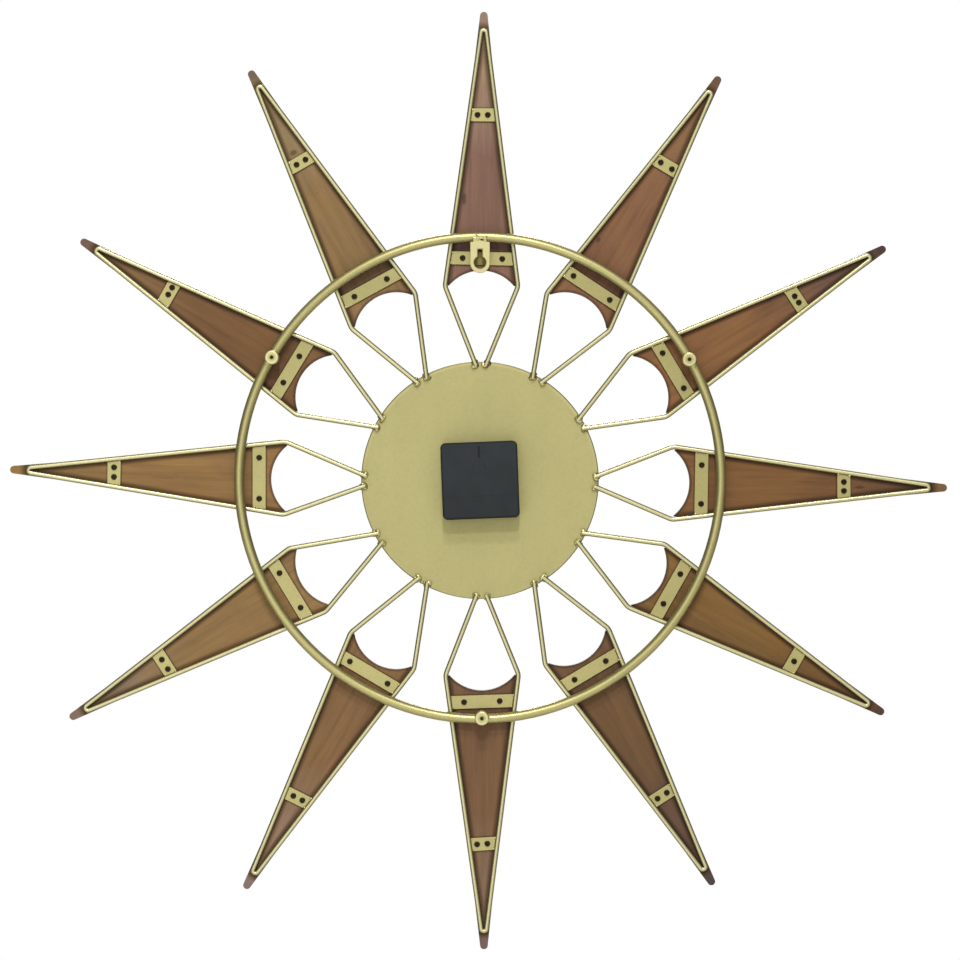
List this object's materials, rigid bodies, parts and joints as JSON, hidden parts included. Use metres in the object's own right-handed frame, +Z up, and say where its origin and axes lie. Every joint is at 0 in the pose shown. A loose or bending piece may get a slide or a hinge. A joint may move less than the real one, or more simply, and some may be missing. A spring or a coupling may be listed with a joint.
{
  "type": "wall clock",
  "caption": "Sunburst wall clock: tapered wooden slats on bent gold rods around a round dial, with a battery quartz movement, ring frame and keyhole hanger behind.",
  "frame": {"origin": "centre of the support ring and of its circle of three lugs, on the wall plane that the lugs' rear faces touch", "axes": "+Z up, the dial faces -Y, +Y points into the wall along the hands' axis, +X to the right seen from the front"},
  "size_m": [0.6862, 0.0284, 0.6866],
  "materials": {
    "stained_wood_01": "stained, matte",
    "stained_wood_02": "stained, matte",
    "stained_wood_03": "stained, matte",
    "stained_wood_04": "stained, matte",
    "stained_wood_05": "stained, matte",
    "stained_wood_06": "stained, matte",
    "stained_wood_07": "stained, matte",
    "stained_wood_08": "stained, matte",
    "stained_wood_09": "stained, matte",
    "stained_wood_10": "stained, matte",
    "stained_wood_11": "stained, matte",
    "stained_wood_12": "stained, matte",
    "gold_painted_steel": "satin metallic gold paint",
    "gold_painted_disc": "satin metallic gold paint",
    "black_screw_steel": "satin black oxide",
    "charcoal_plastic": "fine matte texture",
    "natural_plastic": "smooth",
    "white_gear_plastic": "smooth",
    "magnet": "ground",
    "brass": "turned",
    "nickel_spring_steel": "plated",
    "cell_wrap": "printed film with no text",
    "circuit_board": "solder mask",
    "crystal_can": "drawn can",
    "copper_coil": "enamelled wire on a bobbin",
    "stator_iron": "stamped",
    "black_rubber": "matte",
    "black_hands": "matte black paint"
  },
  "bodies": {
    "frame": {"ray_01": "stained_wood_01", "ray_02": "stained_wood_02", "ray_03": "stained_wood_03", "ray_04": "stained_wood_04", "ray_05": "stained_wood_05", "ray_06": "stained_wood_06", "ray_07": "stained_wood_07", "ray_08": "stained_wood_08", "ray_09": "stained_wood_09", "ray_10": "stained_wood_10", "ray_11": "stained_wood_11", "ray_12": "stained_wood_12", "wire_frame_01": "gold_painted_steel", "wire_frame_02": "gold_painted_steel", "wire_frame_03": "gold_painted_steel", "wire_frame_04": "gold_painted_steel", "wire_frame_05": "gold_painted_steel", "wire_frame_06": "gold_painted_steel", "wire_frame_07": "gold_painted_steel", "wire_frame_08": "gold_painted_steel", "wire_frame_09": "gold_painted_steel", "wire_frame_10": "gold_painted_steel", "wire_frame_11": "gold_painted_steel", "wire_frame_12": "gold_painted_steel", "outer_straps": "gold_painted_steel", "inner_straps": "gold_painted_steel", "support_ring": "gold_painted_steel", "hanger_plate": "gold_painted_steel", "standoff_lugs": "gold_painted_steel", "dial_disc": "gold_painted_disc", "outer_strap_screws": "black_screw_steel", "inner_strap_screws": "black_screw_steel", "movement_front_case": "charcoal_plastic", "movement_rear_cover": "charcoal_plastic", "gear_bridge": "natural_plastic", "dial_bushing": "brass", "dial_nut": "brass", "battery_contact_positive": "brass", "battery_contact_negative": "nickel_spring_steel", "battery_cell": "cell_wrap", "circuit_board": "circuit_board", "quartz_crystal": "crystal_can", "coil": "copper_coil", "stator": "stator_iron", "rubber_washer": "black_rubber"},
    "battery_door": {"battery_door": "charcoal_plastic"},
    "minute_hand": {"minute_hand": "black_hands", "minute_hand_nut": "brass", "cannon_pinion": "brass"},
    "hour_hand": {"hour_hand": "black_hands", "hour_wheel": "white_gear_plastic"},
    "minute_work": {"minute_work_wheel": "white_gear_plastic", "setting_knob": "charcoal_plastic"},
    "second_hand": {"second_hand": "black_hands", "second_wheel": "white_gear_plastic"},
    "rotor": {"rotor_pinion": "white_gear_plastic", "rotor_magnet": "magnet"},
    "intermediate_wheel": {"intermediate_wheel": "white_gear_plastic"},
    "third_wheel": {"third_wheel": "white_gear_plastic"},
    "centre_wheel": {"centre_wheel": "white_gear_plastic"}
  },
  "joints": [
    {"name": "battery_door_lift", "type": "slide", "parent": "frame", "child": "battery_door", "axis": [0, 1, 0], "range_m": [0, 0.03]},
    {"name": "minute_hand_turn", "type": "hinge", "parent": "frame", "child": "minute_hand", "pos_m": [0, 0, -0.0018], "axis": [0, 1, 0], "continuous": true},
    {"name": "hour_hand_turn", "type": "hinge", "parent": "frame", "child": "hour_hand", "pos_m": [0, 0, -0.0018], "axis": [0, 1, 0], "continuous": true},
    {"name": "minute_work_turn", "type": "hinge", "parent": "frame", "child": "minute_work", "pos_m": [0.00034, 0, 0.00719], "axis": [0, 1, 0], "continuous": true},
    {"name": "second_hand_turn", "type": "hinge", "parent": "frame", "child": "second_hand", "pos_m": [0, 0, -0.0018], "axis": [0, 1, 0], "continuous": true},
    {"name": "rotor_turn", "type": "hinge", "parent": "frame", "child": "rotor", "pos_m": [0.01097, 0, 0.00582], "axis": [0, 1, 0], "continuous": true},
    {"name": "intermediate_turn", "type": "hinge", "parent": "frame", "child": "intermediate_wheel", "pos_m": [0.00832, 0, -0.00066], "axis": [0, 1, 0], "continuous": true},
    {"name": "third_turn", "type": "hinge", "parent": "frame", "child": "third_wheel", "pos_m": [-0.00822, 0, -0.00293], "axis": [0, 1, 0], "continuous": true},
    {"name": "centre_turn", "type": "hinge", "parent": "frame", "child": "centre_wheel", "pos_m": [0, 0, -0.0018], "axis": [0, 1, 0], "continuous": true}
  ],
  "couplings": [
    {"joint": "hour_hand_turn", "follows": "minute_hand_turn", "ratio": 0.083333},
    {"joint": "minute_work_turn", "follows": "minute_hand_turn", "ratio": -0.33333},
    {"joint": "intermediate_turn", "follows": "second_hand_turn", "ratio": -5},
    {"joint": "rotor_turn", "follows": "second_hand_turn", "ratio": 30},
    {"joint": "third_turn", "follows": "second_hand_turn", "ratio": -0.13333},
    {"joint": "centre_turn", "follows": "second_hand_turn", "ratio": 0.016667}
  ]
}
